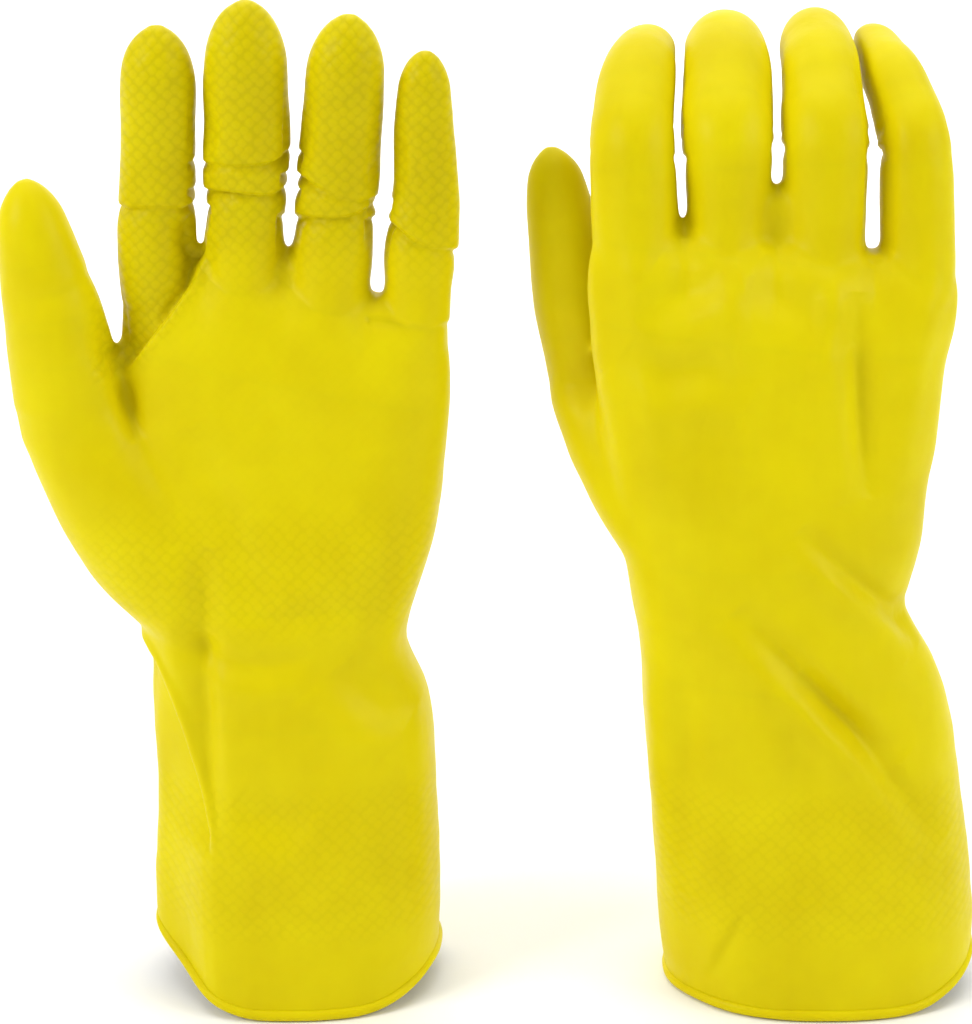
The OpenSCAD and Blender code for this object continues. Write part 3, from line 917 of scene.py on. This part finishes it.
def shell_object(name, skin, faces, origin, grip, material, thickness, start=0.0):
    """A closed thin shell: the faces outside, their offset inside, and walls along open edges."""
    points, normals = skin
    used = sorted({i for f in faces for i in f})
    index = {old: new for new, old in enumerate(used)}
    n = len(used)
    p, nrm = points[used], normals[used]
    outer = [tuple(index[i] for i in f) for f in faces]
    inner = [tuple(i + n for i in reversed(f)) for f in outer]
    walls = [(b, a, a + n, b + n) for a, b in open_edges(outer)]
    verts = np.concatenate([p - nrm * start, p - nrm * (start + thickness)])
    cover = np.concatenate([grip[used], np.zeros(n)])
    ob = place(name, verts, outer + inner + walls, origin, np.concatenate([p, p]), cover, material)
    # The skin's own normals run on across the cuts, and the walls are flat
    mesh = ob.data
    loop_vert = np.empty(len(mesh.loops), int)
    mesh.loops.foreach_get("vertex_index", loop_vert)
    custom = np.concatenate([nrm, -nrm])[loop_vert]
    face_of = np.repeat(np.arange(len(mesh.polygons)), [len(q.vertices) for q in mesh.polygons])
    flat = np.empty(len(mesh.polygons) * 3)
    mesh.polygons.foreach_get("normal", flat)
    wall_loops = face_of >= 2 * len(outer)
    custom[wall_loops] = flat.reshape(-1, 3)[face_of[wall_loops]]
    mesh.normals_split_custom_set(custom.tolist())
    return ob


def grip_cover(side, points, normals, limbs):
    """Where the grip is embossed: the palm side of the hand and fingers, and the low cuff."""
    palm = PALM_SIDE[side]
    front = smoothstep(-0.25, 0.35, palm * normals[:, 1])
    hand = smoothstep(wrist_z(side) + 2, wrist_z(side) + 22, points[:, 2])
    cuff = smoothstep(22, 30, points[:, 2]) * (1 - smoothstep(66, 78, points[:, 2]))
    x, z, kz = points[:, 0], points[:, 2], knuckle(side)[1]
    fingers = smoothstep(kz + 2, kz + 40, z)
    index_root = (1 - smoothstep(-30, -22, x + 0.8 * (kz + 12 - z))) * smoothstep(kz - 16, kz - 6, z)
    low_palm = 0.55 * (1 - smoothstep(kz - 62, kz - 38, z))
    share = np.maximum(np.maximum(fingers, low_palm), np.maximum(index_root, 0.1))
    edge = limbs["index"].base[0] - 14
    share *= smoothstep(edge - 5, edge, x) * (1 - low_palm) + low_palm
    return np.maximum(front * hand * share, 0.45 * cuff)


def rim_object(side, points, faces, material):
    """The rolled rim: a bead along the skin's open edge."""
    ring = np.array([points[a] for a, b in open_edges(faces) if points[a][2] < 20])
    centre = ring.mean(0)
    ring = ring[np.argsort(np.arctan2(ring[:, 1] - centre[1], ring[:, 0] - centre[0]))]
    count, turns = 160, 14
    path = ring[np.linspace(0, len(ring), count, endpoint=False).astype(int)]
    for _ in range(6):
        path = 0.5 * path + 0.25 * (np.roll(path, 1, 0) + np.roll(path, -1, 0))
    out = path - centre
    out[:, 2] = 0
    out /= np.linalg.norm(out, axis=1)[:, None]
    r = BEAD * (1 + 0.08 * noise_at(path, 11.0, 5))
    rings = []
    for k in range(turns):
        a = 2 * math.pi * k / turns
        aside, up = r * math.cos(a) - BEAD_INSET, r * math.sin(a) + 0.1
        rings.append(path + out * aside[:, None] + np.outer(up, UP))
    verts = np.concatenate(rings)
    verts[:, 2] = np.maximum(verts[:, 2], 0.02)
    quads = []
    for k in range(turns):
        here, there = k * count, (k + 1) % turns * count
        for i, j in zip(range(count), [*range(1, count), 0]):
            quads.append((there + i, there + j, here + j, here + i))
    name = f"{side}_rolled_rim_latex"
    return place(name, verts, quads, ORIGIN[side], verts, np.zeros(len(verts)), material)


def body_for(side, zone):
    """The CAD body that a zone rides on, or the two bodies on either side of a band."""
    pairs = {
        "wrist_band": ("cuff", "palm"), "knuckle_band": ("palm", "knuckles"),
        "thumb_root_band": ("palm", "thumb_base"), "thumb_end_band": ("thumb_base", "thumb_tip"),
    }
    for finger in FINGERS:
        pairs[f"{finger}_middle_band"] = ("knuckles", f"{finger}_middle")
        pairs[f"{finger}_end_band"] = (f"{finger}_middle", f"{finger}_tip")
    return tuple(f"{side}_{body}" for body in pairs.get(zone, (zone,)))


def attach(side, ob, zone):
    bodies = body_for(side, zone)
    if len(bodies) == 1:
        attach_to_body(ob, bodies[0])
        return
    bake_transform(ob)


def build_glove(side, latex, flock):
    limbs = limbs_of(side)
    points, normals, faces, zones = split(side, opened(side, shaped(side, limbs)), limbs)
    grip = grip_cover(side, points, normals, limbs)
    skin = (points, normals)
    for number, zone in zone_names(limbs).items():
        part = [f for f, z in zip(faces, zones) if z == number]
        ob = shell_object(f"{side}_{zone}_latex", skin, part, ORIGIN[side], grip, latex, SKIN)
        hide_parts(f"{side}_{zone}")
        attach(side, ob, zone)
    rim = rim_object(side, points, faces, latex)
    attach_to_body(rim, f"{side}_cuff")
    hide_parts(f"{side}_rolled_rim")
    inside = [f for f, z in zip(faces, zones) if z == 1 and min(points[i][2] for i in f) > LINING_FROM]
    name = f"{side}_cuff_lining_flock"
    lining = shell_object(name, skin, inside, ORIGIN[side], grip * 0, flock, FLOCK, SKIN + FLOCK_GAP)
    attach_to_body(lining, f"{side}_cuff")
    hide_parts(f"{side}_cuff_lining")


# ---------------- materials
LATEX_DEEP = (0.635, 0.515, 0.0005)
LATEX_LIGHT = (0.715, 0.605, 0.001)
# Colour of the painted shade that darkens the embossed grip and the grooves between its scales
GRIP_PAINTED_SHADE = (0.28, 0.23, 0.0)
FLOCK_DEEP = (0.66, 0.55, 0.16)
FLOCK_LIGHT = (0.83, 0.74, 0.33)
STUDIO_WHITE = 0.93


class Nodes:
    """A small helper for writing node materials."""

    def __init__(self, name):
        self.material = bpy.data.materials.new(name)
        self.material.use_nodes = True
        self.tree = self.material.node_tree
        self.shader = self.tree.nodes["Principled BSDF"]

    def add(self, kind, inputs, **settings):
        node = self.tree.nodes.new(kind)
        for key, value in settings.items():
            setattr(node, key, value)
        for key, value in inputs.items():
            if isinstance(value, bpy.types.NodeSocket):
                self.tree.links.new(value, node.inputs[key])
            else:
                node.inputs[key].default_value = value
        return node

    def attribute(self, name, kind):
        return self.add("ShaderNodeAttribute", {}, attribute_name=name).outputs[kind]

    def math(self, operation, a, b, c=0.0):
        return self.add("ShaderNodeMath", {0: a, 1: b, 2: c}, operation=operation).outputs[0]

    def noise(self, inputs, scale, detail, roughness=0.5):
        inputs = {**inputs, "Scale": scale, "Detail": detail, "Roughness": roughness}
        return self.add("ShaderNodeTexNoise", inputs).outputs["Fac"]

    def blend(self, a, b, share):
        """The sum of a and b, where share is a's part."""
        return self.math("ADD", self.math("MULTIPLY", a, share), self.math("MULTIPLY", b, 1 - share))

    def ramp(self, factor, low, high, places=(0.3, 0.7)):
        node = self.add("ShaderNodeValToRGB", {"Fac": factor})
        for element, place, colour in zip(node.color_ramp.elements, places, (low, high)):
            element.position = place
            element.color = (*colour, 1)
        return node.outputs["Color"]

    def map_range(self, value, low, high, to_low, to_high, kind="LINEAR"):
        inputs = {"Value": value, "From Min": low, "From Max": high, "To Min": to_low, "To Max": to_high}
        return self.add("ShaderNodeMapRange", inputs, interpolation_type=kind).outputs["Result"]

    def bump(self, height, strength, distance, below=None):
        inputs = {"Height": height, "Strength": strength, "Distance": distance}
        if below is not None:
            inputs["Normal"] = below
        return self.add("ShaderNodeBump", inputs).outputs[0]

    def link(self, out, name):
        self.tree.links.new(out, self.shader.inputs[name])

    def set(self, **values):
        """Values of the shader's own sockets, with _ for a space in their names."""
        for name, value in values.items():
            self.shader.inputs[name.replace("_", " ")].default_value = value


def latex_material():
    n = Nodes("yellow_latex")
    rest = n.attribute("rest", "Vector")
    grip = n.attribute("grip", "Fac")
    at = {"Vector": rest}
    # Slow clouds of colour, with faint streaks down the glove from the dipping
    down = n.add("ShaderNodeVectorMath", {0: rest, 1: (220.0, 220.0, 30.0)}, operation="MULTIPLY").outputs[0]
    mixed = n.blend(n.noise(at, 28.0, 3.0, 0.55), n.noise({"Vector": down}, 1.0, 2.0), 0.9)
    yellow = n.ramp(mixed, LATEX_DEEP, LATEX_LIGHT)
    # The grip: small raised scales on a diagonal lattice, seen from the palm side
    turn = (math.pi / 2, 0, math.pi / 4)
    lattice = n.add("ShaderNodeMapping", {"Vector": rest, "Rotation": turn, "Scale": (GRIP, GRIP, GRIP)})
    settings = {"Vector": lattice.outputs[0], "Scale": 1.0, "Randomness": 0.35}
    cell = n.add("ShaderNodeTexVoronoi", settings, feature="F1", voronoi_dimensions="2D").outputs["Distance"]
    # Painted shade: the latex is darkened where the grip is embossed, most of all in the grooves between the
    # scales
    grip_painted_shade = n.map_range(grip, 0.6, 1.0, 0.0, 0.12, "SMOOTHSTEP")
    groove_painted_shade = n.map_range(cell, 0.3, 0.62, 0.0, 0.15, "SMOOTHSTEP")
    painted_shade = n.math("MULTIPLY_ADD", groove_painted_shade, grip, grip_painted_shade)
    painted_shade_colour = n.add("ShaderNodeMix", {"Factor": painted_shade, 6: yellow, 7: (*GRIP_PAINTED_SHADE, 1)}, data_type="RGBA")
    n.link(painted_shade_colour.outputs[2], "Base Color")
    n.link(n.map_range(n.noise(at, 60.0, 4.0, 0.6), 0.0, 1.0, 0.36, 0.5), "Roughness")
    # Three sizes of relief: the scales, slow ripples, and a fine grain
    raised = n.math("MULTIPLY", n.math("SUBTRACT", 0.6, cell), grip)
    scales = n.bump(raised, 0.65, 0.0006)
    ripples = n.bump(n.noise(at, 170.0, 2.0), 0.35, 0.0006, scales)
    n.link(n.bump(n.noise(at, 900.0, 3.0, 0.6), 0.15, 0.0001, ripples), "Normal")
    n.set(Subsurface_Weight=0.25, Subsurface_Radius=(1.0, 0.7, 0.08), Subsurface_Scale=0.0015)
    n.set(IOR=1.42, Specular_IOR_Level=0.1)
    return n.material


def flock_material():
    n = Nodes("cotton_flock")
    at = {"Vector": n.attribute("rest", "Vector")}
    fibre = n.noise(at, 1400.0, 4.0, 0.7)
    mixed = n.blend(fibre, n.noise(at, 90.0, 3.0), 0.5)
    n.link(n.ramp(mixed, FLOCK_DEEP, FLOCK_LIGHT), "Base Color")
    n.link(n.bump(fibre, 0.7, 0.0004), "Normal")
    n.set(Roughness=0.95, Sheen_Weight=0.35)
    return n.material


def studio_material():
    """A white that is hardly uneven."""
    n = Nodes("studio_white")
    low, high = ([STUDIO_WHITE * share] * 3 for share in (0.985, 1.0))
    n.link(n.ramp(n.noise({}, 6.0, 2.0), low, high, (0.0, 1.0)), "Base Color")
    n.set(Roughness=0.8)
    return n.material


# ---------------- stage
def build_stage():
    """A white floor that curves up into the backdrop behind, in metres."""
    near, far, radius, top, half = -3.0, 1.2, 0.8, 3.5, 3.5
    profile = [(near, 0.0), (far, 0.0)]
    for a in np.linspace(0.1, math.pi / 2, 16):
        profile.append((far + radius * math.sin(a), radius - radius * math.cos(a)))
    profile.append((far + radius, top))
    verts = [(x, y, z) for y, z in profile for x in (-half, half)]
    faces = [(2 * k, 2 * k + 1, 2 * k + 3, 2 * k + 2) for k in range(len(profile) - 1)]
    mesh = bpy.data.meshes.new("studio_sweep")
    mesh.from_pydata(verts, [], faces)
    mesh.shade_smooth()
    mesh.materials.append(studio_material())
    new_object("studio_sweep", mesh)


def aimed(name, data, at, aim):
    """A light or camera at a place, which looks at another."""
    ob = new_object(name, data)
    ob.location = at
    ob.rotation_euler = (Vector(aim) - Vector(at)).to_track_quat("-Z", "Y").to_euler()
    return ob


def area_light(name, at, aim, size, power):
    data = bpy.data.lights.new(name, "AREA")
    data.shape = "RECTANGLE"
    data.size, data.size_y = size
    data.energy = power
    aimed(name, data, at, aim)


def build_lights():
    middle = (0, 0, 0.16)
    area_light("key_softbox", (-1.15, -0.7, 0.9), middle, (0.6, 0.6), 12)
    area_light("fill_softbox", (1.2, -0.45, 0.75), middle, (0.7, 0.7), 8)
    area_light("top_softbox", (0.0, -0.1, 1.5), middle, (1.2, 0.8), 5.5)
    area_light("backdrop_wash", (0.0, 0.7, 1.7), (0, 2.0, 0.5), (3.0, 0.5), 45)
    world = bpy.data.worlds.new("studio")
    world.use_nodes = True
    world.node_tree.nodes["Background"].inputs["Color"].default_value = (1, 1, 1, 1)
    world.node_tree.nodes["Background"].inputs["Strength"].default_value = 0.4
    bpy.context.scene.world = world
    bpy.context.scene.view_settings.view_transform = "Standard"


def build_camera():
    """Straight in front of the pair, a little above it, 0.8 m from the aim."""
    aim = Vector((-0.0054, -0.0066, 0.1515))
    height, distance = math.radians(17), 0.8
    data = bpy.data.cameras.new("camera")
    data.sensor_width, data.lens = 36, 93.4
    data.clip_start = 0.01
    at = aim + distance * Vector((0, -math.cos(height), math.sin(height)))
    bpy.context.scene.camera = aimed("camera", data, at, aim)


latex = latex_material()
flock = flock_material()
for side in SIDES:
    build_glove(side, latex, flock)
build_stage()
build_lights()
build_camera()
